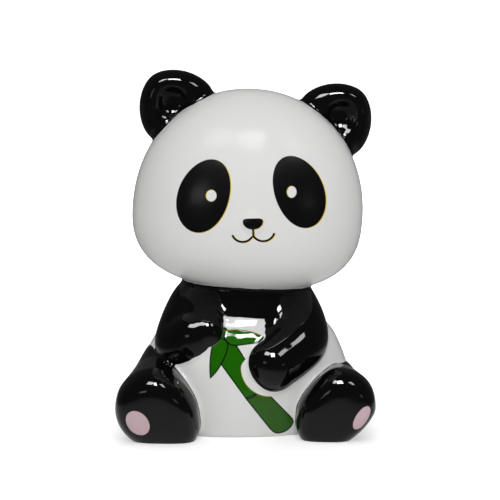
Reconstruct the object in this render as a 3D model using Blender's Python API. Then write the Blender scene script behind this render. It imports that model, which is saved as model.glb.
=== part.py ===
"""A sitting panda figurine, slip-cast in one piece and glazed.

Metres, +Z up, the face towards -Y. The origin is on the table, under the middle of the figure.
"""

import math

import bmesh
import bpy
from mathutils import Matrix, Vector

# Driving dimension: the height of the finished figure, from the table to the tip of the higher ear.
HEIGHT = 0.150

# The figure keeps its proportions. They are given in units, of which its height holds this many.
HEIGHT_UNITS = 148.33
UNIT = HEIGHT / HEIGHT_UNITS

# Head: half sizes of an egg that is round above its widest level and squarer below it.
HEAD_CENTRE = (-1.1, -1.5, 89.5)
HEAD_HALF_WIDTH = 48.4
HEAD_HALF_DEPTH = 39.0
HEAD_ABOVE = 51.8
HEAD_BELOW = 32.1
HEAD_CROWN_POWER = 2.0
HEAD_JAW_POWER = 2.6
HEAD_SECTION_POWER = 2.15
HEAD_ROLL = 4.4
HEAD_SIDES = 46
HEAD_RINGS = 26

# Ears: their middle, and each one's place and lean from it, in the head's own upright frame.
EAR_MIDDLE = 0.5
EAR_CENTRE = (31.9, 2.0, 39.7)
EAR_LEAN = 40.5
EAR_HALF_WIDTH = 16.6
EAR_HALF_LENGTH = 18.1
EAR_OUTLINE_POWER = 1.75
EAR_SIDES = 36
# From the middle of the dish in front, over the rim, to the middle of the back: share of the
# half width, and the distance behind the ear's middle plane.
EAR_PROFILE = (
    (0.00, -1.4),
    (0.22, -1.6),
    (0.42, -2.6),
    (0.58, -4.4),
    (0.72, -5.6),
    (0.86, -4.9),
    (0.96, -2.6),
    (1.00, 0.2),
    (0.96, 2.8),
    (0.85, 4.9),
    (0.66, 6.3),
    (0.40, 7.2),
    (0.00, 7.6),
)

# Body: level, half width, half depth, and its middle to the side and behind (+) or ahead (-).
BODY_SECTIONS = (
    (-2.0, 36.0, 24.0, -2.0, -1.0),
    (0.0, 39.0, 27.0, -2.0, -1.0),
    (3.0, 42.0, 31.0, -2.0, -1.0),
    (10.0, 44.5, 34.5, -2.0, -1.0),
    (20.0, 44.5, 35.5, -2.5, -1.0),
    (30.0, 42.2, 33.0, -3.0, -0.5),
    (38.0, 38.6, 29.0, -3.0, 0.0),
    (48.0, 31.0, 25.0, -2.5, 0.0),
    (58.0, 26.0, 23.0, -1.5, 0.0),
    (66.0, 22.0, 21.0, -1.0, 0.0),
)
BODY_SECTION_POWER = 2.2
BODY_SIDES = 44
BODY_RINGS = 20

# Limbs: the places (x, y, z) and radius of the balls that each one is drawn over.
LIMBS = {
    "left_arm": (
        (-14.0, 0.0, 54.0, 13.0),
        (-22.8, -6.0, 50.0, 12.0),
        (-29.2, -17.0, 38.0, 11.5),
        (-22.8, -28.0, 44.0, 9.5),
    ),
    "right_arm": (
        (10.0, 0.0, 54.0, 13.0),
        (16.6, -7.0, 49.2, 12.0),
        (19.0, -21.0, 37.5, 11.8),
        (7.5, -32.5, 28.3, 9.8),
    ),
    "left_leg": (
        (-32.0, 8.0, 27.0, 10.0),
        (-35.0, -5.0, 26.5, 10.8),
        (-38.0, -18.0, 20.0, 13.2),
        (-40.3, -33.0, 14.3, 17.2),
    ),
    "right_leg": (
        (31.0, 8.0, 19.0, 9.0),
        (34.0, -8.0, 19.0, 9.5),
        (34.0, -19.0, 16.0, 12.3),
        (32.8, -34.5, 13.4, 16.4),
    ),
}
# How square a leg's outline is: 2 is round. First the outer side, above and below, then the
# inner side, below and above. The legs are broad inside, where they rest on the table.
LEG_POWERS = {
    "left_leg": (2.0, 3.2, 4.5, 1.5),
    "right_leg": (2.2, 1.6, 4.5, 1.5),
}
LEG_INNER_WIDTH = 0.94
LEG_INNER_FLARE = 0.15
ARM_SIDES = 26
LEG_SIDES = 30
LIMB_SPANS = 6
CAP_RINGS = 6
# How flat a limb's end is: 2 is half a ball, more is flatter. The length is a share of the radius.
HAND_CAP = (2.2, 0.95)
SOLE_CAP = (2.8, 0.80)

# White glaze, as a linear colour.
WHITE_GLAZE = (0.80, 0.80, 0.79, 1.0)
GLAZE_ROUGHNESS = 0.08

# Points of the casting that are closer than this, in units, are one point.
MERGE = 1e-6
# Edges that turn by more than this many degrees, as at the seams, are shaded sharp.
SHARP_TURN = 40.0


def clear_scene():
    """Remove everything that the file opened with."""
    for thing in list(bpy.data.objects):
        bpy.data.objects.remove(thing, do_unlink=True)


def glaze():
    """White glaze over cast earthenware."""
    material = bpy.data.materials.new("glazed_ceramic")
    material.use_nodes = True
    shader = material.node_tree.nodes["Principled BSDF"]
    shader.inputs["Base Color"].default_value = WHITE_GLAZE
    shader.inputs["Roughness"].default_value = GLAZE_ROUGHNESS
    shader.inputs["Metallic"].default_value = 0.0
    return material


def power(value, exponent):
    """A signed power, for superelliptic outlines."""
    return math.copysign(abs(value) ** exponent, value)


def between(stations, share):
    """The values at a share, 0 to 1, of the way along stations, on a smooth curve through them."""
    spans = len(stations) - 1
    place = min(max(share, 0.0), 1.0) * spans
    index = min(int(place), spans - 1)
    t = place - index
    before = stations[max(index - 1, 0)]
    start = stations[index]
    end = stations[index + 1]
    after = stations[min(index + 2, spans)]
    values = []
    for a, b, c, d in zip(before, start, end, after):
        slope_in = (c - a) / 2
        slope_out = (d - b) / 2
        values.append(
            b * (2 * t**3 - 3 * t**2 + 1)
            + c * (3 * t**2 - 2 * t**3)
            + slope_in * (t**3 - 2 * t**2 + t)
            + slope_out * (t**3 - t**2)
        )
    return values


def loft(name, rings):
    """A closed solid through rings of equally many points. A ring of one point closes an end."""
    mesh = bmesh.new()
    rows = [[mesh.verts.new(point) for point in ring] for ring in rings]
    for lower, upper in zip(rows, rows[1:]):
        count = max(len(lower), len(upper))
        for i in range(count):
            j = (i + 1) % count
            corners = [lower[i % len(lower)], lower[j % len(lower)]]
            corners += [upper[j % len(upper)], upper[i % len(upper)]]
            mesh.faces.new(dict.fromkeys(corners))
    bmesh.ops.triangulate(mesh, faces=mesh.faces)
    bmesh.ops.recalc_face_normals(mesh, faces=mesh.faces)
    data = bpy.data.meshes.new(name)
    mesh.to_mesh(data)
    mesh.free()
    form = bpy.data.objects.new(name, data)
    bpy.context.scene.collection.objects.link(form)
    return form


def level_ring(half_width, half_depth, exponent, sides):
    """A level superelliptic ring about the origin."""
    ring = []
    for i in range(sides):
        angle = 2 * math.pi * i / sides
        x = half_width * power(math.cos(angle), 2 / exponent)
        y = half_depth * power(math.sin(angle), 2 / exponent)
        ring.append(Vector((x, y, 0)))
    return ring


def head_frame():
    """From the head's own upright frame to the figure's."""
    roll = Matrix.Rotation(math.radians(HEAD_ROLL), 4, "Y")
    return Matrix.Translation(Vector(HEAD_CENTRE)) @ roll


def make_head():
    """The egg of the head, rolled to the viewer's right."""
    frame = head_frame()
    rings = [[frame @ Vector((0, 0, -HEAD_BELOW))]]
    for k in range(1, HEAD_RINGS):
        angle = math.pi * (k / HEAD_RINGS - 0.5)
        rise, exponent = HEAD_BELOW, HEAD_JAW_POWER
        if angle > 0:
            rise, exponent = HEAD_ABOVE, HEAD_CROWN_POWER
        share = math.cos(angle) ** (2 / exponent)
        level = Vector((0, 0, rise * power(math.sin(angle), 2 / exponent)))
        ring = level_ring(HEAD_HALF_WIDTH, HEAD_HALF_DEPTH, HEAD_SECTION_POWER, HEAD_SIDES)
        rings.append([frame @ (point * share + level) for point in ring])
    rings.append([frame @ Vector((0, 0, HEAD_ABOVE))])
    return loft("head", rings)


def make_ear(side):
    """A dished ear, on the viewer's left (-1) or right (+1) of the head."""
    x, y, z = EAR_CENTRE
    lean = Matrix.Rotation(side * math.radians(EAR_LEAN), 4, "Y")
    frame = head_frame() @ Matrix.Translation((EAR_MIDDLE + side * x, y, z)) @ lean
    rings = []
    for share, behind in EAR_PROFILE:
        if share == 0:
            rings.append([frame @ Vector((0, behind, 0))])
            continue
        ring = []
        for point in level_ring(EAR_HALF_WIDTH, EAR_HALF_LENGTH, EAR_OUTLINE_POWER, EAR_SIDES):
            ring.append(frame @ Vector((point.x * share, behind, point.y * share)))
        rings.append(ring)
    return loft("ear", rings)


def make_body():
    """The sitting body, from its foot ring up into the head."""
    rings = []
    for k in range(BODY_RINGS + 1):
        section = between(BODY_SECTIONS, k / BODY_RINGS)
        level, half_width, half_depth, aside, behind = section
        middle = Vector((aside, behind, level))
        ring = level_ring(half_width, half_depth, BODY_SECTION_POWER, BODY_SIDES)
        if k == 0:
            rings.append([middle])
        rings.append([point + middle for point in ring])
    rings.append([middle])
    return loft("body", rings)


def arm_section():
    """A round outline of radius 1: how far each point lies to the viewer's left and up."""
    angles = [2 * math.pi * i / ARM_SIDES for i in range(ARM_SIDES)]
    return [(math.cos(angle), math.sin(angle)) for angle in angles]


def leg_section(side, powers):
    """A leg's outline of radius 1, for the leg at the viewer's left (-1) or right (+1)."""
    outer_above, outer_below, inner_below, inner_above = powers
    section = []
    for i in range(LEG_SIDES):
        angle = 2 * math.pi * i / LEG_SIDES
        out, up = math.cos(angle), math.sin(angle)
        if out > 0:
            exponent = outer_above if up > 0 else outer_below
        else:
            exponent = inner_above if up > 0 else inner_below
        out, up = power(out, 2 / exponent), power(up, 2 / exponent)
        if out < 0:
            out *= LEG_INNER_WIDTH * (1 - LEG_INNER_FLARE * up)
        section.append((-side * out, up))
    return section


def make_limb(name, stations, section, cap, rests):
    """A limb over balls, with a plain half ball inside the body and a shaped outer end.

    One that rests on the table reaches down to it all along.
    """
    flatness, length = cap
    count = LIMB_SPANS * (len(stations) - 1)
    line = [between(stations, k / count) for k in range(count + 1)]
    centres = [Vector(values[:3]) for values in line]
    radii = [values[3] for values in line]
    tangents = []
    for k in range(count + 1):
        ahead = centres[min(k + 1, count)]
        back = centres[max(k - 1, 0)]
        tangents.append((ahead - back).normalized())

    def ring(centre, tangent, radius, fullest):
        side = tangent.cross(Vector((0, 0, 1))).normalized()
        above = side.cross(tangent)
        drop = max(1.0, centre.z / fullest) if rests else 1.0
        points = []
        for left, up in section:
            rise = up * drop if up < 0 else up
            points.append(centre + (side * left + above * rise) * radius)
        return points

    rings = [[centres[0] - tangents[0] * radii[0]]]
    for k in range(1, CAP_RINGS):
        angle = math.pi / 2 * k / CAP_RINGS
        place = centres[0] - tangents[0] * radii[0] * math.cos(angle)
        rings.append(ring(place, tangents[0], radii[0] * math.sin(angle), radii[0]))
    for centre, tangent, radius in zip(centres, tangents, radii):
        rings.append(ring(centre, tangent, radius, radius))
    for k in range(1, CAP_RINGS):
        angle = math.pi / 2 * k / CAP_RINGS
        reach = radii[-1] * length * math.sin(angle) ** (2 / flatness)
        place = centres[-1] + tangents[-1] * reach
        share = math.cos(angle) ** (2 / flatness)
        rings.append(ring(place, tangents[-1], radii[-1] * share, radii[-1]))
    rings.append([centres[-1] + tangents[-1] * radii[-1] * length])
    return loft(name, rings)


def make_forms():
    """Every form of the casting, in units, still apart."""
    forms = [make_body(), make_head(), make_ear(-1), make_ear(1)]
    for name, stations in LIMBS.items():
        if name in LEG_POWERS:
            side = -1 if name == "left_leg" else 1
            section = leg_section(side, LEG_POWERS[name])
            forms.append(make_limb(name, stations, section, SOLE_CAP, True))
        else:
            forms.append(make_limb(name, stations, arm_section(), HAND_CAP, False))
    return forms


def unite(forms):
    """Join the forms into one casting with true seams."""
    casting = forms[0]
    for form in forms[1:]:
        union = casting.modifiers.new("join_" + form.name, "BOOLEAN")
        union.operation = "UNION"
        union.solver = "EXACT"
        # A bent arm folds into itself at the elbow.
        union.use_self = form.name.endswith("arm")
        union.object = form
    bpy.context.view_layer.update()
    evaluated = casting.evaluated_get(bpy.context.evaluated_depsgraph_get())
    mesh = bmesh.new()
    mesh.from_mesh(evaluated.to_mesh())
    evaluated.to_mesh_clear()
    for form in forms:
        bpy.data.objects.remove(form, do_unlink=True)
    return mesh


def flatten_foot(mesh):
    """Cut the casting flat where it stands on the table."""
    everything = mesh.verts[:] + mesh.edges[:] + mesh.faces[:]
    bmesh.ops.bisect_plane(
        mesh, geom=everything, plane_co=(0, 0, 0), plane_no=(0, 0, 1), clear_inner=True
    )
    rim = [edge for edge in mesh.edges if edge.is_boundary]
    bmesh.ops.contextual_create(mesh, geom=rim)


def centre_on_table(mesh):
    """Scale from units and move the figure's middle over the origin."""
    bmesh.ops.scale(mesh, verts=mesh.verts, vec=(UNIT, UNIT, UNIT))
    for axis in (0, 1):
        values = [vertex.co[axis] for vertex in mesh.verts]
        middle = (min(values) + max(values)) / 2
        for vertex in mesh.verts:
            vertex.co[axis] -= middle


def make_panda():
    """The whole figurine."""
    mesh = unite(make_forms())
    bmesh.ops.remove_doubles(mesh, verts=mesh.verts, dist=MERGE)
    flatten_foot(mesh)
    centre_on_table(mesh)
    bmesh.ops.triangulate(mesh, faces=mesh.faces)
    bmesh.ops.recalc_face_normals(mesh, faces=mesh.faces)
    data = bpy.data.meshes.new("panda")
    mesh.to_mesh(data)
    mesh.free()
    data.materials.append(glaze())
    data.shade_smooth()
    data.set_sharp_from_angle(angle=math.radians(SHARP_TURN))
    panda = bpy.data.objects.new("panda", data)
    bpy.context.scene.collection.objects.link(panda)
    return panda


clear_scene()
make_panda()
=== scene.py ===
# %% [markdown]
# # A sitting panda in glazed earthenware
# The real figurine is slip-cast: clay slip sets against the inside of a plaster mould, and the hollow
# shell is fired, glazed in white and black and fired again with printed transfers on it. The packed
# solid gives its place and size. Everything here is set out in that solid's frame.

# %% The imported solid
import math

import bmesh
import bpy
from mathutils import Matrix, Vector
from mathutils.bvhtree import BVHTree


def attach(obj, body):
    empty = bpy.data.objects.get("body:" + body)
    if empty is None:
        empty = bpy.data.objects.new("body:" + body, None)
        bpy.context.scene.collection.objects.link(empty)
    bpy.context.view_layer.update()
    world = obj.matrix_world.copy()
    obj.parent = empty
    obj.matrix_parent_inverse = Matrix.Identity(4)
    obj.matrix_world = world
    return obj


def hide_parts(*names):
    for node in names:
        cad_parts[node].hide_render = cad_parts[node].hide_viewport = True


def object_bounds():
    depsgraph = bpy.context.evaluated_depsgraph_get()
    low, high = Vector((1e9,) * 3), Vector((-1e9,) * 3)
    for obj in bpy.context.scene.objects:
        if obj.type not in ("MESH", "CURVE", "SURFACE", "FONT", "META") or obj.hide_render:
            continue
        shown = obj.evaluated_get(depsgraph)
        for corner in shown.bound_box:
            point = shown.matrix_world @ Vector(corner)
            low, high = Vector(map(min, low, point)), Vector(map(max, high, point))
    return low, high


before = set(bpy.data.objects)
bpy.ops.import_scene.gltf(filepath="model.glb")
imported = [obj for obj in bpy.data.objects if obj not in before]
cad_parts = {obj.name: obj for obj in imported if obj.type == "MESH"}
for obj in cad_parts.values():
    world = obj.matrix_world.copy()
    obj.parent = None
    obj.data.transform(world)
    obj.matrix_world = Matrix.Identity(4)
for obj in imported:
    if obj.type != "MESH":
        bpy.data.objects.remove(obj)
cad_low, cad_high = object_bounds()
print("solid, mm:", [round(1000 * (b - a), 1) for a, b in zip(cad_low, cad_high)])

# %% [markdown]
# ## One unit for every form
# A figure keeps its proportions, so its forms are given in shares of its height, 148.33 units. Each form
# is modelled in units, where a unit is about a millimetre, and the finished casting is scaled once.

# %% Units
HEIGHT_UNITS = 148.33
UNIT = (cad_high.z - cad_low.z) / HEIGHT_UNITS
# Where the middle of the figure's box lies, in units: the solid has it over the origin.
MIDDLE = Vector((-3.424, -5.408, 0.0))
MM = 0.001
print("a unit is %.4f mm" % (1000 * UNIT))

# %% [markdown]
# ## A form drawn ring by ring
# A round form such as a head could be a scaled sphere, but a cast animal is squarer in some places than
# in others. So a disc is drawn out ring by ring, as a potter throws: extrude, then scale the new ring.
# The first ring is a circle whose points are moved out a little, which squares it.

# %% Drawing rings
# The size of the last small ring at a pole, as a share of the full one.
POLE = 0.012
SAME_PLACE = 1e-4
ROUNDING_LEVELS = 2


def pick(piece, test):
    """In edit mode, select just the points that pass a test."""
    mesh = bmesh.from_edit_mesh(piece.data)
    for vertex in mesh.verts:
        vertex.select_set(test(vertex))
    mesh.select_flush_mode()
    bmesh.update_edit_mesh(piece.data)


def draw_rings(name, sides, squareness, rings):
    """A closed form through rings: each has a middle, half a width and half a depth."""
    bpy.ops.object.select_all(action="DESELECT")
    bpy.ops.mesh.primitive_circle_add(vertices=sides, radius=1, fill_type="TRIFAN")
    piece = bpy.context.object
    piece.name = name
    bpy.ops.object.mode_set(mode="EDIT")
    for step in range(sides // 4 + 1):
        x = math.cos(2 * math.pi * step / sides)
        y = math.sin(2 * math.pi * step / sides)
        reach = (x**squareness + y**squareness) ** (-1 / squareness)
        pick(piece, lambda v: max(abs(abs(v.co.x) - x), abs(abs(v.co.y) - y)) < SAME_PLACE)
        bpy.ops.transform.resize(value=(reach, reach, 1), center_override=(0, 0, 0))
    bpy.ops.mesh.select_all(action="SELECT")
    place, width, depth = Vector(), 1.0, 1.0
    for number, (middle, half_width, half_depth) in enumerate(rings):
        if number == 0:
            bpy.ops.transform.translate(value=middle)
        else:
            bpy.ops.mesh.extrude_region_move(TRANSFORM_OT_translate={"value": middle - place})
        grow = (half_width / width, half_depth / depth, 1)
        bpy.ops.transform.resize(value=grow, center_override=middle)
        place, width, depth = middle, half_width, half_depth
    bpy.ops.mesh.select_all(action="SELECT")
    bpy.ops.mesh.normals_make_consistent(inside=False)
    bpy.ops.object.mode_set(mode="OBJECT")
    return piece


def settle(piece, frame_of_piece):
    """Turn and move a form into the figure, and make it smooth enough for a gloss."""
    piece.matrix_world = frame_of_piece
    bpy.ops.object.transform_apply(location=True, rotation=True, scale=True)
    rounding = piece.modifiers.new("rounding", "SUBSURF")
    rounding.levels = rounding.render_levels = ROUNDING_LEVELS
    bpy.ops.object.modifier_apply(modifier="rounding")
    print(piece.name, len(piece.data.polygons), "faces")


# %% [markdown]
# ## The head
# The head is the largest form: an egg that is round above its widest level and squarer at the jowls,
# tilted a little to the viewer's right. Its outline is a superellipse, whose power says how square it is.

# %% Head
HEAD_CENTRE = (-1.1, -1.5, 89.5)
HEAD_HALF_WIDTH = 48.4
HEAD_HALF_DEPTH = 39.0
# How far the head reaches above and below its widest level, and how square it is there.
HEAD_ABOVE = (51.6, 2.07)
HEAD_BELOW = (32.1, 2.6)
HEAD_SECTION_POWER = 2.15
# Degrees to the viewer's right.
HEAD_ROLL = 4.4
HEAD_RINGS = 48
HEAD_SIDES = 64

head_frame = Matrix.Translation(HEAD_CENTRE) @ Matrix.Rotation(math.radians(HEAD_ROLL), 4, "Y")
rings = []
for step in range(HEAD_RINGS + 1):
    angle = math.pi * (step / HEAD_RINGS - 0.5)
    rise, squareness = HEAD_ABOVE if angle > 0 else HEAD_BELOW
    share = max(math.cos(angle), 0.0) ** (2 / squareness)
    level = math.copysign(rise * abs(math.sin(angle)) ** (2 / squareness), angle)
    share = max(share, POLE)
    rings.append((Vector((0, 0, level)), HEAD_HALF_WIDTH * share, HEAD_HALF_DEPTH * share))
head = draw_rings("head", HEAD_SIDES, HEAD_SECTION_POWER, rings)
settle(head, head_frame)

# %% [markdown]
# ## The ears
# Each ear is a thick pad with a small dish near its tip and a broad rounded rim, set into the head at a
# slant. Seen from the middle of the dish over the rim to the back it has one profile, so rings follow
# that profile, and the inner ones lie nearer to the tip. A smooth curve through a few measured places
# gives the rings between them.

# %% Ears
# Where each ear's middle is in the head, and how many degrees it leans out.
EARS = {"left_ear": (-32.0, 2.0, 40.5, -41.5), "right_ear": (33.0, 2.0, 39.7, 40.5)}
EAR_HALF_WIDTH = 16.6
EAR_HALF_LENGTH = 18.1
EAR_OUTLINE_POWER = 1.75
EAR_RINGS = 44
EAR_SIDES = 56
# Share of the half width, the distance behind the ear's middle plane, and the shift to the tip.
EAR_PROFILE = (
    (0.00, -1.5, 3.8),
    (0.14, -1.8, 3.8),
    (0.26, -2.7, 3.8),
    (0.36, -4.2, 3.7),
    (0.45, -5.4, 3.5),
    (0.54, -5.9, 3.1),
    (0.66, -5.7, 2.2),
    (0.78, -4.8, 1.2),
    (0.89, -3.1, 0.4),
    (0.97, -1.1, 0.0),
    (1.00, 0.8, 0.0),
    (0.97, 2.9, 0.0),
    (0.86, 4.9, 0.0),
    (0.66, 6.3, 0.0),
    (0.40, 7.2, 0.0),
    (0.00, 7.6, 0.0),
)


def along(stations, share):
    """The values a share of the way along stations, on a smooth curve through them."""
    spans = len(stations) - 1
    place = min(max(share, 0.0), 1.0) * spans
    index = min(int(place), spans - 1)
    t = place - index
    four = [stations[min(max(index + k, 0), spans)] for k in (-1, 0, 1, 2)]
    values = []
    for a, b, c, d in zip(*four):
        bend = b * (2 * t**3 - 3 * t**2 + 1) + c * (3 * t**2 - 2 * t**3)
        slope = (c - a) / 2 * (t**3 - 2 * t**2 + t) + (d - b) / 2 * (t**3 - t**2)
        values.append(bend + slope)
    return values


rings = []
for step in range(EAR_RINGS + 1):
    share, behind, shift = along(EAR_PROFILE, step / EAR_RINGS)
    share = max(share, POLE)
    rings.append((Vector((0, shift, -behind)), EAR_HALF_WIDTH * share, EAR_HALF_LENGTH * share))
ears = []
for name, (*seat, lean) in EARS.items():
    ear = draw_rings(name, EAR_SIDES, EAR_OUTLINE_POWER, rings)
    seated = head_frame @ Matrix.Translation(seat)
    leaning = Matrix.Rotation(math.radians(lean), 4, "Y")
    upright = Matrix.Rotation(math.radians(90), 4, "X")
    settle(ear, seated @ leaning @ upright)
    ears.append(ear)

# %% [markdown]
# ## The body
# The sitting body is a sack that is widest a little above the table. It could be turned like a pot, but
# it isn't round. So its sections are level rings, each with its own width and depth, and a little off
# the middle as in the real casting. They lie closer above the bamboo, where the belly falls back.

# %% Body
# Level, half width, half depth, and the middle to the side and behind (+) or ahead (-).
BODY_SECTIONS = (
    (-2.0, 36.0, 27.0, -2.0, -4.0),
    (0.0, 39.0, 30.0, -2.0, -4.0),
    (3.0, 42.0, 32.5, -2.0, -2.5),
    (10.0, 44.5, 34.9, -2.0, -1.4),
    (20.0, 44.4, 35.6, -2.4, -1.1),
    (30.0, 41.6, 34.2, -2.4, -1.6),
    (38.0, 37.8, 31.2, -2.2, -2.2),
    (40.0, 36.4, 30.4, -2.2, -2.2),
    (41.0, 35.7, 30.0, -2.3, -2.1),
    (42.0, 34.9, 29.5, -2.3, -2.0),
    (43.0, 34.2, 28.8, -2.3, -1.9),
    (44.0, 33.5, 28.1, -2.3, -1.7),
    (45.0, 32.9, 27.5, -2.3, -1.4),
    (46.0, 32.2, 26.9, -2.3, -1.2),
    (47.0, 31.6, 26.4, -2.3, -1.1),
    (48.0, 30.9, 25.9, -2.3, -1.0),
    (58.0, 26.0, 22.9, -1.5, 0.2),
    (66.0, 22.0, 21.0, -1.0, 0.2),
)
BODY_SECTION_POWER = 2.2
BODY_RINGS = 60
BODY_SIDES = 64
# The belly faces a little to the viewer's right, in degrees.
BODY_TURN = 2.5

rings = []
for step in range(BODY_RINGS + 1):
    level, half_width, half_depth, aside, behind = along(BODY_SECTIONS, step / BODY_RINGS)
    rings.append((Vector((aside, behind, level)), half_width, half_depth))
body = draw_rings("body", BODY_SIDES, BODY_SECTION_POWER, rings)
settle(body, Matrix.Rotation(math.radians(BODY_TURN), 4, "Z"))

# %% [markdown]
# ## Arms and legs
# The arms and legs are bent drops that lie close to the body. Each could be extruded from a circle, with
# a turn at every ring. Here a few balls mark a limb's way and its thickness, and a smooth curve runs
# through them. Its ends close like balls, flatter at the soles. Two short shoulders fill the hollows
# between the arms and the chest.

# %% Limb lines
# Places (x, y, z) and radii of the balls.
LIMBS = {
    "left_shoulder": ((-20.0, -6.0, 50.0, 12.0), (-20.5, -14.0, 48.0, 11.5), (-20.0, -21.5, 44.6, 9.6)),
    "right_shoulder": ((14.0, -6.0, 50.0, 12.0), (14.5, -14.0, 46.5, 11.5), (14.0, -22.0, 40.5, 9.0)),
    "left_arm": ((-14.0, 0.0, 54.0, 13.0), (-22.8, -6.0, 50.0, 12.0), (-28.6, -17.3, 37.2, 12.3),
                 (-24.2, -24.4, 40.6, 10.6), (-19.6, -27.0, 43.0, 7.6)),
    "right_arm": ((10.0, 0.0, 54.0, 13.0), (16.6, -7.0, 49.2, 12.0), (18.6, -21.0, 37.9, 12.3),
                  (6.9, -31.8, 29.7, 11.2)),
    "left_leg": ((-32.0, 8.0, 27.0, 10.0), (-35.0, -5.0, 26.5, 10.8), (-38.0, -18.0, 20.0, 13.2),
                 (-40.3, -34.6, 14.3, 17.2)),
    "right_leg": ((31.0, 8.0, 19.0, 9.0), (34.0, -8.0, 19.0, 9.5), (34.0, -19.0, 16.0, 12.3),
                  (32.8, -36.1, 13.4, 16.4)),
}
# How flat a limb's end is, 2 being half a ball, and its length as a share of the radius.
HAND_CAP = (2.2, 0.95)
SOLE_CAP = (3.2, 0.80)
SPAN_STEPS = 16
CAP_STEPS = 12


def limb_line(stations, cap):
    """Places and radii along a limb, its rounded ends included, and the fullest radius at each."""
    flatness, length = cap
    count = SPAN_STEPS * (len(stations) - 1)
    balls = [along(stations, step / count) for step in range(count + 1)]
    places = [Vector(ball[:3]) for ball in balls]
    radii = [ball[3] for ball in balls]
    back = (places[0] - places[1]).normalized()
    ahead = (places[-1] - places[-2]).normalized()
    line = [(places[0] + back * radii[0], radii[0] * POLE, radii[0])]
    for step in range(1, CAP_STEPS):
        angle = math.pi / 2 * step / CAP_STEPS
        place = places[0] + back * radii[0] * math.cos(angle)
        line.append((place, radii[0] * math.sin(angle), radii[0]))
    line += zip(places, radii, radii)
    for step in range(1, CAP_STEPS):
        angle = math.pi / 2 * step / CAP_STEPS
        reach = radii[-1] * length * math.sin(angle) ** (2 / flatness)
        share = math.cos(angle) ** (2 / flatness)
        line.append((places[-1] + ahead * reach, radii[-1] * share, radii[-1]))
    line.append((places[-1] + ahead * radii[-1] * length, radii[-1] * POLE, radii[-1]))
    return line


print("balls:", {name: len(stations) for name, stations in LIMBS.items()})

# %% [markdown]
# ## The outline of a limb
# An arm is round. A leg is squarer towards the belly, and narrows there towards its top. An outline could
# be drawn point by point. As a superellipse, each quarter of it needs just one number.

# %% Limb outlines
# How square a leg is: outer side above and below, then inner side below and above. 2 is round.
LEG_POWERS = {"left_leg": (2.0, 1.95, 3.6, 1.65), "right_leg": (2.2, 1.4, 3.4, 1.5)}
LEG_INNER_WIDTH = 0.96
LEG_INNER_FLARE = 0.15
LIMB_SIDES = 96


def power(value, exponent):
    """A signed power, for superelliptic outlines."""
    return math.copysign(abs(value) ** exponent, value)


def limb_outline(name):
    """A limb's outline of radius 1, as somebody sees it who walks out along the limb."""
    turns = [2 * math.pi * step / LIMB_SIDES for step in range(LIMB_SIDES)]
    if name not in LEG_POWERS:
        return [(math.cos(angle), math.sin(angle)) for angle in turns]
    side = -1 if name == "left_leg" else 1
    outer_above, outer_below, inner_below, inner_above = LEG_POWERS[name]
    points = []
    for angle in turns:
        out, up = math.cos(angle), math.sin(angle)
        if out > 0:
            squareness = outer_above if up > 0 else outer_below
        else:
            squareness = inner_above if up > 0 else inner_below
        out, up = power(out, 2 / squareness), power(up, 2 / squareness)
        if out < 0:
            out *= LEG_INNER_WIDTH * (1 - LEG_INNER_FLARE * up)
        points.append((-side * out, up))
    return points


# %% [markdown]
# ## Sweeping the limbs
# A curve object sweeps by itself: one flat curve is the outline, and it follows a second one whose
# points carry the size. The tube becomes a mesh that is open at first, so that its points stay in rings.
# A leg reaches down to the table all along, so the lower half of each ring is scaled until it does. The
# two small ends are filled last.


# %% Limbs
def sweep(name, outline, line):
    """An outline swept along a line, kept upright, as a mesh of rings that is open at its ends."""
    bpy.ops.object.select_all(action="DESELECT")
    flat = bpy.data.curves.new(name + "_outline", "CURVE")
    flat.dimensions = "2D"
    rim = flat.splines.new("POLY")
    rim.points.add(len(outline) - 1)
    for point, (x, y) in zip(rim.points, outline):
        point.co = (x, y, 0, 1)
    rim.use_cyclic_u = True
    section = bpy.data.objects.new(name + "_outline", flat)
    bpy.context.collection.objects.link(section)
    path = bpy.data.curves.new(name, "CURVE")
    path.dimensions = "3D"
    path.twist_mode = "Z_UP"
    path.bevel_mode = "OBJECT"
    path.bevel_object = section
    run = path.splines.new("POLY")
    run.points.add(len(line) - 1)
    for point, (place, radius, _) in zip(run.points, line):
        point.co = (*place, 1)
        point.radius = radius
    limb = bpy.data.objects.new(name, path)
    bpy.context.collection.objects.link(limb)
    bpy.context.view_layer.objects.active = limb
    limb.select_set(True)
    bpy.ops.object.convert(target="MESH")
    bpy.data.objects.remove(section, do_unlink=True)
    return bpy.context.object


def rest_on_table(leg, line):
    """In edit mode, stretch the lower half of each ring of a leg until it reaches the table."""
    for number, (place, _, fullest) in enumerate(line):
        ring = range(number * LIMB_SIDES, (number + 1) * LIMB_SIDES)
        pick(leg, lambda vertex: vertex.index in ring and vertex.co.z < place.z)
        drop = max(1.0, place.z / fullest)
        bpy.ops.transform.resize(value=(1, 1, drop), center_override=place)


limbs = []
for name, stations in LIMBS.items():
    on_table = name in LEG_POWERS
    line = limb_line(stations, SOLE_CAP if on_table else HAND_CAP)
    limb = sweep(name, limb_outline(name), line)
    bpy.ops.object.mode_set(mode="EDIT")
    if on_table:
        rest_on_table(limb, line)
    bpy.ops.mesh.select_all(action="SELECT")
    bpy.ops.mesh.fill_holes(sides=0)
    bpy.ops.mesh.normals_make_consistent(inside=False)
    bpy.ops.object.mode_set(mode="OBJECT")
    limbs.append(limb)
    lowest = min(vertex.co.z for vertex in limb.data.vertices)
    print(name, "%.1f x %.1f x %.1f units" % tuple(limb.dimensions), "lowest %.1f" % lowest)

# %% [markdown]
# ## One casting
# A mould gives one skin with no edge at the joins: slip rounds each crease, and glaze fills it a little
# more. A Boolean union would leave knife-sharp creases, and a bevel along them fails where they meet.
# A voxel remesh melts the overlapping forms into one skin, and a few passes of smoothing round the
# creases by about as much as glaze does. The forms are measured first, because the glaze needs them.

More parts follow.
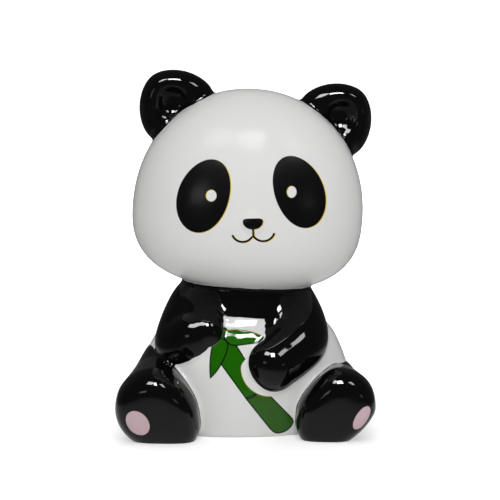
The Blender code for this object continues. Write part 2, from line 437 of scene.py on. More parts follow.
# %% Casting
VOXEL = 0.82
CREASE_PASSES = 3
SMOOTHING = 0.5


def smooth_over(piece, passes, group=""):
    """Smooth a piece in a number of passes, all over or where a group of its points holds."""
    softer = piece.modifiers.new("softer", "SMOOTH")
    softer.factor = SMOOTHING
    softer.iterations = passes
    softer.vertex_group = group
    bpy.ops.object.modifier_apply(modifier="softer")


graph = bpy.context.evaluated_depsgraph_get()
pale_forms = [BVHTree.FromObject(form, graph) for form in (body, head)]
dark_forms = [BVHTree.FromObject(form, graph) for form in ears + limbs]
bpy.ops.object.select_all(action="DESELECT")
for form in [head, *ears, *limbs, body]:
    form.select_set(True)
bpy.context.view_layer.objects.active = body
bpy.ops.object.join()
panda = bpy.context.object
panda.name = "glazed_panda"
melt = panda.modifiers.new("melt", "REMESH")
melt.mode = "VOXEL"
melt.voxel_size = VOXEL
bpy.ops.object.modifier_apply(modifier="melt")
smooth_over(panda, CREASE_PASSES)
bpy.ops.object.mode_set(mode="EDIT")
bpy.ops.mesh.select_all(action="SELECT")
bpy.ops.mesh.bisect(plane_co=(0, 0, 0), plane_no=(0, 0, 1), use_fill=True, clear_inner=True)
bpy.ops.object.mode_set(mode="OBJECT")
print("casting:", len(panda.data.vertices), "points,", len(panda.data.polygons), "faces")

# %% [markdown]
# ## The nose
# The transfer of the nose lies on a low bump, which catches a small highlight above it. It is pulled out
# of the finished skin, with a soft falloff around it, as one would with proportional editing.

# %% Nose
NOSE_PLACE = Vector((-1.7, -40.4, 89.8))
NOSE_TIP = 1.2
NOSE_HEIGHT = 1.6
NOSE_REACH = 5.0

bpy.ops.object.mode_set(mode="EDIT")
pick(panda, lambda vertex: (vertex.co - NOSE_PLACE).length < NOSE_TIP)
print("nose points:", panda.data.total_vert_sel)
bpy.ops.transform.translate(
    value=(0, -NOSE_HEIGHT, 0),
    use_proportional_edit=True,
    proportional_edit_falloff="SMOOTH",
    proportional_size=NOSE_REACH,
)
bpy.ops.object.mode_set(mode="OBJECT")

# %% [markdown]
# ## Where the black glaze lies
# Ears, arms and legs are black up to their creases, and the shoulders are black down to a brushed line.
# A painter fills each form to its edge. So every point keeps how much nearer it is to a black form than
# to a white one, in units: the glaze changes where that number passes zero, finer than the mesh.

# %% Black glaze
# Black stops short of the belly by this much, and runs into the crease below the head.
BELLY_SHARE = 0.8
HEAD_SHARE = 1.0
# The line across the shoulders: its level in front and behind, and how it falls to the right.
BAND_LEVEL = 48.3
BAND_LEVEL_BEHIND = 41.0
BAND_FALL = 0.07
# The band sinks between this far in front of the middle and as far behind it.
BAND_SWING = 12.0
FAR = 6.0


def nearest(tree, place):
    """How far a form is from a place, up to FAR."""
    found = tree.find_nearest(place, FAR)
    return FAR if found[0] is None else found[3]


blackness = []
for vertex in panda.data.vertices:
    place = vertex.co
    body_gap, head_gap = (nearest(tree, place) for tree in pale_forms)
    dark_gap = min(nearest(tree, place) for tree in dark_forms)
    behind = min(max((place.y + BAND_SWING) / (2 * BAND_SWING), 0.0), 1.0)
    brush_level = BAND_LEVEL + (BAND_LEVEL_BEHIND - BAND_LEVEL) * behind
    band = place.z + BAND_FALL * place.x - brush_level
    pale_gap = min(body_gap - BELLY_SHARE, head_gap + HEAD_SHARE)
    shoulders = min(head_gap + HEAD_SHARE - body_gap, band)
    blackness.append(max(pale_gap - dark_gap, shoulders))
dark = panda.data.attributes.new("dark", "FLOAT", "POINT")
dark.data.foreach_set("value", blackness)
black_points = sum(value > 0 for value in blackness)
print("black share of the points: %.2f" % (black_points / len(blackness)))

# %% [markdown]
# ## The chest
# Between the arms and the chest no crease is left, as slip and glaze run thick there. More smoothing of
# the whole casting would soften every other crease too. So it is held to a group of points, the black
# ones between the belly's line and the chin, and the edges against the white stay where they are.

# %% Soft chest
# The smoothing sets in between two levels, and fades out in the last units below the chin.
CHEST_LEVELS = (36.0, 44.0)
CHIN_LEVEL = 60.0
CHIN_FADE = 4.0
# It starts this far inside the black and is full a little farther in.
EDGE_KEPT = 0.6
EDGE_FADE = 2.0
CHEST_PASSES = 40

chest = panda.vertex_groups.new(name="chest")
for vertex, value in zip(panda.data.vertices, blackness):
    above = (vertex.co.z - CHEST_LEVELS[0]) / (CHEST_LEVELS[1] - CHEST_LEVELS[0])
    below_head = (CHIN_LEVEL - vertex.co.z) / CHIN_FADE
    hold = min(above, below_head, (value - EDGE_KEPT) / EDGE_FADE, 1.0)
    if hold > 0 and vertex.co.y < 0:
        chest.add([vertex.index], hold, "REPLACE")
smooth_over(panda, CHEST_PASSES, "chest")
print("softened:", sum(bool(vertex.groups) for vertex in panda.data.vertices), "points")

# %% [markdown]
# ## Into the frame
# The casting is scaled to metres, its middle goes over the origin like the solid's, and it replaces the
# solid for the eye. That is done to its points in edit mode, so the object itself stays at the origin,
# unturned and unscaled. Only the ring where it is cut flat for the table stays a sharp edge.

# %% Placing the casting
ON_TABLE = 1e-6

bpy.ops.object.mode_set(mode="EDIT")
bpy.ops.mesh.select_all(action="SELECT")
bpy.ops.transform.translate(value=-MIDDLE)
bpy.ops.transform.resize(value=(UNIT, UNIT, UNIT), center_override=(0, 0, 0))
pick(panda, lambda vertex: vertex.co.z < ON_TABLE)
bpy.ops.mesh.quads_convert_to_tris()
bpy.ops.mesh.region_to_loop()
bpy.ops.mesh.mark_sharp()
bpy.ops.object.mode_set(mode="OBJECT")
bpy.ops.object.shade_smooth()
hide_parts("panda")
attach(panda, "root")
triangles = sum(len(face.vertices) - 2 for face in panda.data.polygons)
print("triangles:", triangles)
print("casting, mm:", [round(1000 * side, 1) for side in panda.dimensions])

# %% [markdown]
# ## Nodes and colours
# A material is a tree of nodes. It could be clicked together in the editor. Here one small function adds
# a node with its settings and joins what goes into it. Colours are written as the eye reads them on a
# screen, and turned linear for the renderer.


# %% Helpers for materials
def add(tree, kind, inputs=(), out=0, **settings):
    """Add a node, set it, join or fill its inputs, and give back one of its outputs."""
    node = tree.nodes.new("ShaderNode" + kind)
    for name, value in settings.items():
        setattr(node, name, value)
    for slot, value in inputs.items() if isinstance(inputs, dict) else enumerate(inputs):
        if isinstance(value, bpy.types.NodeSocket):
            tree.links.new(value, node.inputs[slot])
        else:
            node.inputs[slot].default_value = value
    return node.outputs[out] if node.outputs else None


def screen(code):
    """A linear colour from an sRGB hex value."""
    parts = [int(code[i:i + 2], 16) / 255 for i in (1, 3, 5)]
    return (*(c / 12.92 if c <= 0.04045 else ((c + 0.055) / 1.055) ** 2.4 for c in parts), 1.0)


def new_material(name):
    """An empty material and its tree."""
    material = bpy.data.materials.new(name)
    material.use_nodes = True
    material.node_tree.nodes.clear()
    return material, material.node_tree


# %% [markdown]
# ## The plane of the transfers
# Each transfer is drawn flat and laid on from the front. So the drawings lie in one upright plane before
# the figure, in millimetres, and every point of the casting is taken straight to it from one place in
# front, the place that the photograph was taken from. That place is fixed in the figure's own frame.

# %% Drawing plane
AZIMUTH = -4.0
ELEVATION = 8.0
VIEW_DISTANCE = 950 * UNIT
VIEW_TARGET = Vector((-MIDDLE.x * UNIT, -MIDDLE.y * UNIT, 73 * UNIT))

turn, rise = math.radians(AZIMUTH), math.radians(ELEVATION)
toward_viewer = Vector(
    (math.sin(turn) * math.cos(rise), -math.cos(turn) * math.cos(rise), math.sin(rise))
)
rightward = Vector((math.cos(turn), math.sin(turn), 0))
upward = toward_viewer.cross(rightward)
viewpoint = VIEW_TARGET + toward_viewer * VIEW_DISTANCE
print("viewpoint, m:", [round(axis, 3) for axis in viewpoint])


def drawing_plane(tree):
    """A point of the surface as a spot on the drawing plane, in mm from its middle."""
    place = add(tree, "TexCoord", out="Object")
    ray = add(tree, "VectorMath", (place, viewpoint), operation="SUBTRACT")
    depth = add(tree, "VectorMath", (ray, -toward_viewer), out="Value", operation="DOT_PRODUCT")
    sides = []
    for axis in (rightward, upward):
        shift = add(tree, "VectorMath", (ray, axis), out="Value", operation="DOT_PRODUCT")
        share = add(tree, "Math", (shift, depth), operation="DIVIDE")
        sides.append(add(tree, "Math", (share, 1000 * VIEW_DISTANCE), operation="MULTIPLY"))
    return add(tree, "CombineXYZ", (sides[0], sides[1], 0.0))


# %% [markdown]
# ## Drawing with distances
# A shape is a number at every spot: how far outside its edge the spot lies, in millimetres, less than
# zero inside. Two shapes overlap where both numbers are below zero, and the larger number says that.
# The edge is then as sharp as the render, which that of a painted picture isn't.


# %% Shapes
def in_halves(tree, spot, centre, half, lean):
    """A spot as seen from a shape's middle, along its lean in degrees, counted in its half sizes."""
    settings = {0: spot, 1: (*centre, 0), 2: (0, 0, math.radians(lean)), 3: (*half, 1)}
    return add(tree, "Mapping", settings, vector_type="TEXTURE")


def past_rim(tree, counted, half):
    """How far a spot that is counted in half sizes lies past the rim, in mm."""
    reach = add(tree, "VectorMath", (counted,), out="Value", operation="LENGTH")
    return add(tree, "Math", (reach, min(half), -min(half)), operation="MULTIPLY_ADD")


def oval(tree, spot, centre, half, lean=0.0):
    """An oval with half sizes, leaning by degrees."""
    return past_rim(tree, in_halves(tree, spot, centre, half, lean), half)


def egg(tree, spot, centre, half, lean, taper, bend):
    """An oval that is narrower at one end and slightly bent, as drawn by hand."""
    counted = in_halves(tree, spot, centre, half, lean)
    across = add(tree, "SeparateXYZ", (counted,), out="X")
    lengthways = add(tree, "SeparateXYZ", (counted,), out="Y")
    square = add(tree, "Math", (lengthways, lengthways), operation="MULTIPLY")
    straight = add(tree, "Math", (square, -bend, across), operation="MULTIPLY_ADD")
    width = add(tree, "Math", (lengthways, taper, 1.0), operation="MULTIPLY_ADD")
    even = add(tree, "Math", (straight, width), operation="DIVIDE")
    return past_rim(tree, add(tree, "CombineXYZ", (even, lengthways, 0.0)), half)


def disc(tree, spot, centre, radius):
    """A round disc."""
    gap = add(tree, "VectorMath", (spot, (*centre, 0)), out="Value", operation="DISTANCE")
    return add(tree, "Math", (gap, radius), operation="SUBTRACT")


def left_of(tree, spot, start, end):
    """Everything to the left of somebody who walks from start to end."""
    way = (Vector(end) - Vector(start)).normalized()
    outward = Vector((way.y, -way.x, 0))
    value = add(tree, "VectorMath", (spot, outward), out="Value", operation="DOT_PRODUCT")
    return add(tree, "Math", (value, outward.xy.dot(Vector(start))), operation="SUBTRACT")


def overlap(tree, shapes, rounding=0.0):
    """Where all the shapes overlap, with rounded corners."""
    whole = shapes[0]
    for shape in shapes[1:]:
        whole = add(tree, "Math", (whole, shape, rounding), operation="SMOOTH_MAX")
    return whole


def together(tree, shapes):
    """The shapes together."""
    whole = shapes[0]
    for shape in shapes[1:]:
        whole = add(tree, "Math", (whole, shape), operation="MINIMUM")
    return whole


def outside(tree, shape):
    """Everything but the shape."""
    return add(tree, "Math", (shape, -1.0), operation="MULTIPLY")


def outline_of(tree, shape, half_line):
    """A line along the edge of a shape."""
    off = add(tree, "Math", (shape,), operation="ABSOLUTE")
    return add(tree, "Math", (off, half_line), operation="SUBTRACT")


EDGE_SOFTNESS = 0.16


def filled(tree, shape):
    """1 inside a shape and 0 outside, with an edge as soft as printed ink's."""
    inputs = (shape, -1 / EDGE_SOFTNESS, 0.5)
    return add(tree, "Math", inputs, operation="MULTIPLY_ADD", use_clamp=True)


# %% [markdown]
# ## The face
# The eyes, nose and mouth are one black transfer, fired onto the white glaze. A thin ochre edge shows on
# one side of each mark, where the colour below the black is out of register. A brush on the model could
# paint them, but not as evenly as a print. So each mark is an oval, a disc, or a line along one, in
# millimetres on the drawing plane.

# %% Face
MISREGISTER = (0.32, -0.10, 0.0)
# Half the width of the mouth's line.
MOUTH_LINE = 0.45
# Each patch: middle, half sizes, lean, taper and bend. Then the middle and half sizes of its dot.
EYES = (
    ((-19.82, 23.22), (10.94, 16.14), -18.8, -0.048, 0.050, (-16.56, 23.18), (2.29, 2.50)),
    ((21.00, 24.94), (10.51, 15.99), 20.8, -0.034, -0.049, (17.74, 24.76), (2.09, 2.50)),
)
# Each half of the smile: the middle and radius of its arc, and the arc's two ends.
SMILE = (
    ((-3.17, 8.17), 4.75, (-7.33, 6.05), (1.40, 5.86)),
    ((5.59, 8.73), 4.99, (1.40, 5.86), (10.19, 6.87)),
)


def face_marks(tree, spot):
    """Eye patches with their dots cut out, nose and mouth, as one shape."""
    eyes = []
    for *patch, dot, dot_half in EYES:
        patch = egg(tree, spot, *patch)
        eyes.append(overlap(tree, [patch, outside(tree, oval(tree, spot, dot, dot_half))]))
    muzzle = oval(tree, spot, (1.22, 12.2), (4.35, 3.5))
    brow = left_of(tree, spot, (5.3, 13.55), (-2.9, 13.35))
    nose = overlap(tree, [muzzle, brow], 2.0)
    lip = overlap(
        tree,
        [outline_of(tree, left_of(tree, spot, (1.28, 9.0), (1.45, 5.9)), MOUTH_LINE),
         left_of(tree, spot, (9.0, 9.0), (-9.0, 9.0)), left_of(tree, spot, (-9.0, 5.9), (9.0, 5.9))],
    )
    smile = []
    for centre, radius, left_end, right_end in SMILE:
        ring = outline_of(tree, disc(tree, spot, centre, radius), MOUTH_LINE)
        smile.append(overlap(tree, [ring, left_of(tree, spot, right_end, left_end)]))
        for end in (left_end, right_end):
            smile.append(disc(tree, spot, end, MOUTH_LINE))
    return together(tree, [*eyes, nose, lip, *smile])


# %% [markdown]
# ## The bamboo stem
# The bamboo is a second transfer: flat greens with thin black outlines over a yellow that shows along
# one edge. Its straight edges are lines, and a shape lies to the left of somebody who walks along them.
# Its round edges are discs. It stops short of the hand in a neat arc.

# %% Stem
# Half the width of the outlines.
LINE = 0.27


def hand_gap(tree, spot):
    """Where the bamboo stops short of the hand."""
    round_part = disc(tree, spot, (8.28, -50.35), 12.19)
    return overlap(tree, [round_part, left_of(tree, spot, (-1.71, -46.22), (-3.48, -48.68))], 1.0)


def stem(tree, spot):
    """The stem in two lengths, above and below the joint."""
    above_joint = left_of(tree, spot, (-1.90, -63.25), (2.61, -61.36))
    upper = overlap(
        tree,
        [left_of(tree, spot, (-12.20, -48.84), (-1.38, -63.77)),
         left_of(tree, spot, (-2.13, -46.71), (-5.81, -40.80)),
         left_of(tree, spot, (-5.0, -37.0), (-12.0, -37.0)),
         left_of(tree, spot, (-12.3, -40.0), (-12.3, -60.0)), above_joint],
    )
    sides = [
        left_of(tree, spot, (-1.38, -63.77), (9.78, -77.71)),
        left_of(tree, spot, (17.48, -71.31), (8.30, -61.96)),
    ]
    shaft = overlap(
        tree,
        [*sides, left_of(tree, spot, (7.78, -73.85), (15.58, -67.65)), outside(tree, above_joint)],
    )
    end = overlap(tree, [*sides, disc(tree, spot, (11.68, -70.75), 7.25)], 2.2)
    return upper, together(tree, [shaft, end])


def joint_line(tree, spot):
    """The curved line between the two lengths."""
    return overlap(
        tree,
        [outline_of(tree, disc(tree, spot, (-0.86, -59.46), 3.94), 0.8 * LINE),
         left_of(tree, spot, (-12.20, -48.84), (-1.38, -63.77)),
         left_of(tree, spot, (2.61, -61.36), (-1.90, -63.25))],
    )


# %% [markdown]
# ## The leaves
# A small leaf and a drooping one lie over the top of the stem, and a level one over both. A leaf is where
# large discs overlap, cut by a line near its tip, which is a little blunt. The list at the end gives
# shapes and inks in the order in which they were printed.

# %% Leaves
YELLOW_SHIFT = (0.10, 0.20, 0.0)
INK = screen("#0B100C")
YELLOW = screen("#C9A227")
GREEN = screen("#1F6504")
DULL_GREEN = screen("#2D5E14")
LIGHT_GREEN = screen("#22690A")
RUST = screen("#C9772A")
# The level leaf has no outline along its upper edge, down to this depth.
UPPER_EDGE = 0.4


def drooping_leaf(tree, spot):
    """The leaf that hangs down: round at the top, pointed at the tip."""
    top = together(
        tree, [disc(tree, spot, (-12.73, -41.07), 3.38), left_of(tree, spot, (0.0, -41.3), (-20.0, -41.3))]
    )
    left_side = disc(tree, spot, (25.16, -50.09), 42.25)
    right_side = disc(tree, spot, (-32.83, -36.87), 23.78)
    tip = left_of(tree, spot, (-16.47, -56.71), (-12.20, -48.68))
    return overlap(tree, [top, left_side, overlap(tree, [right_side, tip], 0.8)])


def level_leaf(tree, spot):
    """The leaf that points to the right, and its upper edge by itself."""
    top = disc(tree, spot, (-6.0, -58.6), 24.55)
    round_end = together(
        tree, [disc(tree, spot, (-6.30, -35.88), 4.79), left_of(tree, spot, (-6.3, -20.0), (-6.3, -50.0))]
    )
    under = left_of(tree, spot, (-6.30, -40.80), (3.71, -39.43))
    tip = left_of(tree, spot, (3.71, -39.43), (6.00, -37.20))
    return overlap(tree, [round_end, top, overlap(tree, [under, tip], 0.8)]), top


def bamboo(tree, spot):
    """The parts of the bamboo from the back to the front: shape and colour."""
    moved = add(tree, "VectorMath", (spot, YELLOW_SHIFT), operation="SUBTRACT")
    yellow = overlap(tree, [together(tree, stem(tree, moved)), outside(tree, hand_gap(tree, moved))])
    gap = outside(tree, hand_gap(tree, spot))
    upper, lower = stem(tree, spot)
    small = oval(tree, spot, (-12.86, -36.54), (3.9, 2.4), 46.0)
    drooping = drooping_leaf(tree, spot)
    level, level_top = level_leaf(tree, spot)
    below_top = add(tree, "Math", (level_top, UPPER_EDGE), operation="ADD")
    return [
        (yellow, YELLOW),
        (overlap(tree, [upper, gap]), GREEN),
        (overlap(tree, [lower, gap]), DULL_GREEN),
        (overlap(tree, [outline_of(tree, together(tree, [upper, lower]), LINE), gap]), INK),
        (overlap(tree, [joint_line(tree, spot), gap]), INK),
        (small, GREEN),
        (outline_of(tree, small, LINE), INK),
        (drooping, GREEN),
        (outline_of(tree, drooping, LINE), INK),
        (level_leaf(tree, moved)[0], RUST),
        (level, LIGHT_GREEN),
        (overlap(tree, [outline_of(tree, level, LINE), below_top]), INK),
    ]


# %% [markdown]
# ## Where each glaze lies
# White glaze covers the whole shell. The black is brushed over it, so its edge wavers by a few tenths of
# a millimetre, and above the bamboo it ends in a rough stroke on each side of a white patch. A mask
# could be painted by hand. Here it comes from the number at each point, from lines of the drawing and
# from noise, which stay sharp however close one looks.

# %% Black and white
# Sizes of the waver and of the bristles' marks in mm, and how far they push an edge.
WAVER_SIZE, WAVER_PUSH = 5.0, 0.25
BRISTLE_SIZE, BRISTLE_PUSH = 1.5, 1.8
BRUSH_EDGE = 0.2
# Each stroke beside the white patch lies to the left of these lines of the drawing.
CHIN_LINE = ((20.0, -24.0), (-20.0, -24.0))
STROKES = (
    (((6.55, -20.0), (6.30, -45.0)), CHIN_LINE,
     ((16.0, -45.0), (16.0, -20.0)), ((0.0, -38.2), (20.0, -38.2))),
    (((-11.0, -40.0), (-11.6, -20.0)), CHIN_LINE,
     ((-20.0, -20.0), (-20.0, -45.0)), ((-20.0, -32.4), (0.0, -31.4))),
)


def share_of(tree, shape, *limits):
    """How much of a spot a shape covers, within some limits."""
    share = filled(tree, shape)
    for limit in limits:
        share = add(tree, "Math", (share, limit), operation="MULTIPLY")
    return share


glaze, tree = new_material("glazed_earthenware")
spot = drawing_plane(tree)
place = add(tree, "TexCoord", out="Object")
forward = add(tree, "SeparateXYZ", (place,), out="Y")
front = add(tree, "Math", (forward, 0.0), operation="LESS_THAN")
painted = add(tree, "Attribute", out="Fac", attribute_name="dark")
waver = add(tree, "TexNoise", {"Vector": place, "Scale": 1 / (WAVER_SIZE * MM), "Detail": 2.0})
waver = add(tree, "Math", (waver, 2 * WAVER_PUSH, -WAVER_PUSH), operation="MULTIPLY_ADD")
brushed = add(tree, "Math", (painted, waver), operation="ADD")
brushed = add(tree, "Math", (brushed, 1 / BRUSH_EDGE, 0.5), operation="MULTIPLY_ADD", use_clamp=True)
stroke = together(
    tree, [overlap(tree, [left_of(tree, spot, *line) for line in lines]) for lines in STROKES]
)
bristles = add(tree, "TexNoise", {"Vector": place, "Scale": 1 / (BRISTLE_SIZE * MM), "Detail": 3.0})
bristles = add(tree, "Math", (bristles, 0.5), operation="SUBTRACT")
stroke = add(tree, "Math", (bristles, BRISTLE_PUSH, stroke), operation="MULTIPLY_ADD")
black_share = add(tree, "Math", (brushed, share_of(tree, stroke, front)), operation="MAXIMUM")
bare = add(tree, "Math", (1.0, black_share), operation="SUBTRACT")
print("nodes for black and white:", len(tree.nodes))

# %% [markdown]
# ## Colours of the glaze
# The colours are laid on in the order of the real work: white, black, the ochre and black of the face,
# the bamboo, and the pink pads of the soles. Each could be a material on faces of its own, but the mesh
# is too coarse for such edges. The face and the bamboo keep to the white glaze, and every mark keeps to
# the front half of the figure, since a drawing that is taken straight through it would reach its back
# too. Both sides of a foot lie in that half, so each pad also shows on the rear of its foot.

# %% Colours
WHITE = screen("#E9E9E8")
BLACK = screen("#0A0A0A")
OCHRE = screen("#F0CC3A")
PINK = screen("#D4B9BF")
# Middle, half sizes and lean of each pad.
PADS = (((-47.89, -73.82), (4.28, 5.82), 44.0), ((47.64, -71.57), (2.47, 5.66), -33.3))

colour = add(tree, "Mix", {0: black_share, 6: WHITE, 7: BLACK}, out=2, data_type="RGBA")
marks = face_marks(tree, spot)
ochre = face_marks(tree, add(tree, "VectorMath", (spot, MISREGISTER), operation="SUBTRACT"))
printed = share_of(tree, marks, bare, front)
layers = [(share_of(tree, shape, bare, front), ink)
          for shape, ink in [(ochre, OCHRE), (marks, BLACK), *bamboo(tree, spot)]]
layers += [(share_of(tree, oval(tree, spot, *pad), front), PINK) for pad in PADS]
for share, ink in layers:
    colour = add(tree, "Mix", {0: share, 6: colour, 7: ink}, out=2, data_type="RGBA")
print("layers of colour:", len(layers))

# %% [markdown]
# ## Glazed earthenware
# Glaze is glass over clay: a sharp reflection over an even colour, with the slight waves of a melt that
# ran before it set. The white is thinner on the head, so its reflections are softer there, and at the
# crown there are hardly any. The face's transfer is a little less glossy than the glaze, and that of the
# bamboo lies under it. Waves as low as these could be modelled, but only their reflections show, which a
# bump gives too. The IOR is lower than a clear glaze's 1.5, to match the highlights.

# %% Glaze
GLAZE_IOR = 1.26
GLAZE_ROUGHNESS = 0.04
HEAD_ROUGHNESS = 0.10
FACE_ROUGHNESS = 0.24
# Levels in units where the head begins, and between which the gloss of the crown fades.
HEAD_LEVEL = 57.0
CROWN_LEVELS = (96.0, 112.0)
FULL_GLOSS = (1.0, 1.0, 1.0, 1.0)
CROWN_GLOSS = (0.04, 0.04, 0.04, 1.0)
# Length and depth of the waves in mm.
MELT_SIZE, MELT_DEPTH = 10.0, 0.35

level = add(tree, "SeparateXYZ", (place,), out="Z")
on_head = add(tree, "Math", (level, HEAD_LEVEL * UNIT), operation="GREATER_THAN")
on_crown = add(tree, "MapRange", {0: level, 1: CROWN_LEVELS[0] * UNIT, 2: CROWN_LEVELS[1] * UNIT})
pale_head = add(tree, "Math", (bare, on_head), operation="MULTIPLY")
softer = HEAD_ROUGHNESS - GLAZE_ROUGHNESS
glazed = add(tree, "Math", (pale_head, softer, GLAZE_ROUGHNESS), operation="MULTIPLY_ADD")
roughness = add(tree, "Mix", {0: printed, 2: glazed, 3: FACE_ROUGHNESS})
unprinted = add(tree, "Math", (bare, printed), operation="SUBTRACT", use_clamp=True)
dull = add(tree, "Math", (unprinted, on_crown), operation="MULTIPLY")
gloss = add(tree, "Mix", {0: dull, 6: FULL_GLOSS, 7: CROWN_GLOSS}, out=2, data_type="RGBA")
melt_waves = add(tree, "TexNoise", {"Vector": place, "Scale": 1 / (MELT_SIZE * MM), "Detail": 1.5})
bump = add(tree, "Bump", {"Strength": 0.8, "Distance": MELT_DEPTH * MM, "Height": melt_waves})
looks = {"Base Color": colour, "Roughness": roughness, "Specular Tint": gloss, "IOR": GLAZE_IOR}
shader = add(tree, "BsdfPrincipled", {**looks, "Normal": bump})
add(tree, "OutputMaterial", {"Surface": shader})
panda.data.materials.clear()
panda.data.materials.append(glaze)
print("glaze nodes:", len(tree.nodes))

# %% [markdown]
# ## Bare foot
# The underside stands on the kiln shelf, so it carries no glaze: bare fired clay is matt, buff and
# faintly gritty. It could be a piece of its own. A second material on the faces that are cut flat for
# the table keeps the casting whole.

# %% Foot
BISCUIT_ROUGHNESS = 0.85
# Size and depth of the grit in mm.
GRIT_SIZE, GRIT_DEPTH = 0.8, 0.1
BUFF = screen("#D9D2C4")
DARK_BUFF = screen("#C4BBA9")

biscuit, tree = new_material("bare_earthenware")
place = add(tree, "TexCoord", out="Object")
grit = add(tree, "TexNoise", {"Vector": place, "Scale": 1 / (GRIT_SIZE * MM), "Detail": 4.0})
tone = add(tree, "Mix", {0: grit, 6: BUFF, 7: DARK_BUFF}, out=2, data_type="RGBA")
rough = add(tree, "Bump", {"Strength": 0.5, "Distance": GRIT_DEPTH * MM, "Height": grit})
looks = {"Base Color": tone, "Roughness": BISCUIT_ROUGHNESS, "Normal": rough}
shader = add(tree, "BsdfPrincipled", looks)
add(tree, "OutputMaterial", {"Surface": shader})
panda.data.materials.append(biscuit)
for face in panda.data.polygons:
    if all(panda.data.vertices[i].co.z < ON_TABLE for i in face.vertices):
        face.material_index = 1
        face.use_smooth = False
print("bare faces:", sum(face.material_index for face in panda.data.polygons))

# %% [markdown]
# ## Table
# The figurine stands on white paper. For the camera the paper has a painted glow, weaker under the figure
# and stronger further out, so it shows pure white but for the shadow where the feet touch it. In the glaze
# it is a painted pool of light, bright close by and fading within 22 cm. One plain white material can't
# be all that, so light paths tell the paper's three looks apart: for the camera, for reflections, and
# for the light that it throws back.

# %% Table
TABLE_SIZE = 30.0
TABLE_GAP = 0.00005
CLEAR = (1, 1, 1, 1)
PAPER_WHITE = (0.9, 0.9, 0.9, 1.0)
PAPER_GREY = (0.78, 0.78, 0.78, 1.0)
# Metres from the middle where the painted pool of light that the glaze reflects starts to fade and has
# faded, and its strengths there.
FADE_START, FADE_END, BRIGHT_NEAR, BRIGHT_FAR = 0.05, 0.22, 1.05, 0.12
# How strong the paper's painted glow is for the camera below the figure, and how it grows with each metre.
GLOW_BELOW, GLOW_RISE = 0.34, 1.5

bpy.ops.object.select_all(action="DESELECT")
bpy.ops.mesh.primitive_plane_add(size=TABLE_SIZE, location=(0, 0, -TABLE_GAP))
table = bpy.context.object
table.name = "table"
paper, tree = new_material("white_paper")
seen = add(tree, "LightPath", out="Is Camera Ray")
mirrored = add(tree, "LightPath", out="Is Glossy Ray")
away = add(tree, "VectorMath", (add(tree, "TexCoord", out="Object"),), out="Value", operation="LENGTH")
# In reflections the paper is a painted pool of light: an emission that fades with distance from the
# figure.
fade = {0: away, 1: FADE_START, 2: FADE_END, 3: BRIGHT_NEAR, 4: BRIGHT_FAR}
painted_pool_glow = add(tree, "MapRange", fade, interpolation_type="SMOOTHSTEP")
painted_paper_reflection = add(tree, "Emission", {"Color": CLEAR, "Strength": painted_pool_glow})
paper_grey = add(tree, "BsdfDiffuse", {"Color": PAPER_GREY})
# For the camera the paper glows with painted light that grows away from the figure.
painted_paper_glow = add(tree, "Math", (away, GLOW_RISE, GLOW_BELOW), operation="MULTIPLY_ADD", use_clamp=True)
glow = add(tree, "Emission", {"Color": CLEAR, "Strength": painted_paper_glow})
paper_white = add(tree, "AddShader", (glow, add(tree, "BsdfDiffuse", {"Color": PAPER_WHITE})))
unseen = add(tree, "MixShader", (mirrored, paper_grey, painted_paper_reflection))
paper_looks = add(tree, "MixShader", (seen, unseen, paper_white))
add(tree, "OutputMaterial", {"Surface": paper_looks})
table.data.materials.append(paper)
print("table, m:", [round(side, 1) for side in table.dimensions])

# %% [markdown]
# ## Surroundings
# The room is dark, but its walls send back a little light from all sides. A world can't be dark and
# light at once, so it has three strengths: an even haze that lights the figure, a nearly dark room for
# reflections, and a white backdrop for the camera.

# %% Surroundings
HAZE, ROOM, BACKDROP = 0.42, 0.08, 1.05

world = bpy.data.worlds.new("studio")
bpy.context.scene.world = world
world.use_nodes = True
tree = world.node_tree
tree.nodes.clear()
seen = add(tree, "LightPath", out="Is Camera Ray")
mirrored = add(tree, "LightPath", out="Is Glossy Ray")
haze, room, backdrop = (
    add(tree, "Background", {"Color": CLEAR, "Strength": strength}) for strength in (HAZE, ROOM, BACKDROP)
)
unseen = add(tree, "MixShader", (mirrored, haze, room))
surroundings = add(tree, "MixShader", (seen, unseen, backdrop))
add(tree, "OutputWorld", {"Surface": surroundings})
print("world:", world.name)

# %% [markdown]
# ## Light
# Broad soft light from the front, from above and from behind shades the white glaze. Black glaze shows
# only what it reflects: the paper in its lower parts, darkness above it, a few small bright windows, and
# faint glows low at both sides. One set of lamps can't do both, so the soft ones stay out of
# reflections, and the windows and glows light nothing.


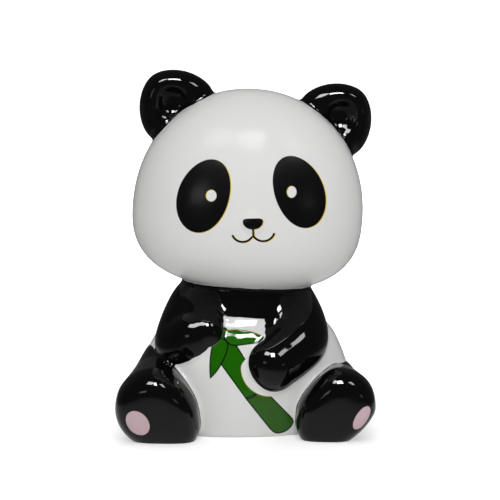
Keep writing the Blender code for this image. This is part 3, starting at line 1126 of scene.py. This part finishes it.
# %% Light
def lamp_at(name, turned, raised, away, width, height, watts):
    """A softbox that faces the figure, from degrees to the right of the front and above level."""
    lamp = bpy.data.lights.new(name, "AREA")
    lamp.shape = "RECTANGLE"
    lamp.size, lamp.size_y = width, height
    lamp.energy = watts
    softbox = bpy.data.objects.new(name, lamp)
    bpy.context.collection.objects.link(softbox)
    aside, up = math.radians(turned), math.radians(raised)
    way = Vector((math.sin(aside) * math.cos(up), -math.cos(aside) * math.cos(up), math.sin(up)))
    softbox.location = VIEW_TARGET + way * away
    softbox.rotation_euler = (-way).to_track_quat("-Z", "Y").to_euler()
    return softbox


# Degrees to the right of the front, degrees up, distance, width, height and watts.
SOFT_LIGHT = {
    "key": (-3, 45, 1.1, 0.5, 0.4, 2.9),
    "fill": (4, 3, 1.1, 0.5, 0.3, 2.2),
    "top": (0, 88, 0.9, 0.5, 0.5, 0.8),
    "rear": (180, 30, 1.1, 0.5, 0.4, 3.0),
}
WINDOWS = {
    "wide_window": (-38, 59, 1.0, 0.34, 0.32, 14.0),
    "bright_window": (5, 56, 1.0, 0.26, 0.34, 29.0),
    "window_bar": (-15, 59, 1.0, 0.20, 0.05, 1.5),
    "side_window": (52, 49, 1.0, 0.20, 0.24, 4.0),
    "left_glow": (-38, 13, 1.0, 0.26, 0.16, 0.50),
    "right_glow": (47, 6, 1.0, 0.14, 0.12, 0.10),
}
for name, numbers in SOFT_LIGHT.items():
    lamp_at(name, *numbers).visible_glossy = False
for name, numbers in WINDOWS.items():
    lamp_at(name, *numbers).visible_diffuse = False
bpy.context.scene.view_settings.view_transform = "Standard"
print("lamps:", *SOFT_LIGHT, *WINDOWS)

# %% [markdown]
# ## Camera
# The camera stands where the photograph was taken from: a little to the viewer's left, 8 degrees above
# level and almost a metre away, with a long lens that fills the frame with the figurine.

# %% Camera
FOCAL_PIXELS = 2253
PICTURE_PIXELS = 500
lens = bpy.data.cameras.new("camera")
lens.sensor_width = 36.0
lens.lens = lens.sensor_width * FOCAL_PIXELS / PICTURE_PIXELS
camera = bpy.data.objects.new("camera", lens)
bpy.context.collection.objects.link(camera)
camera.location = viewpoint
camera.rotation_euler = (math.pi / 2 - rise, 0, turn)
bpy.context.scene.camera = camera
print("lens: %.0f mm" % lens.lens)
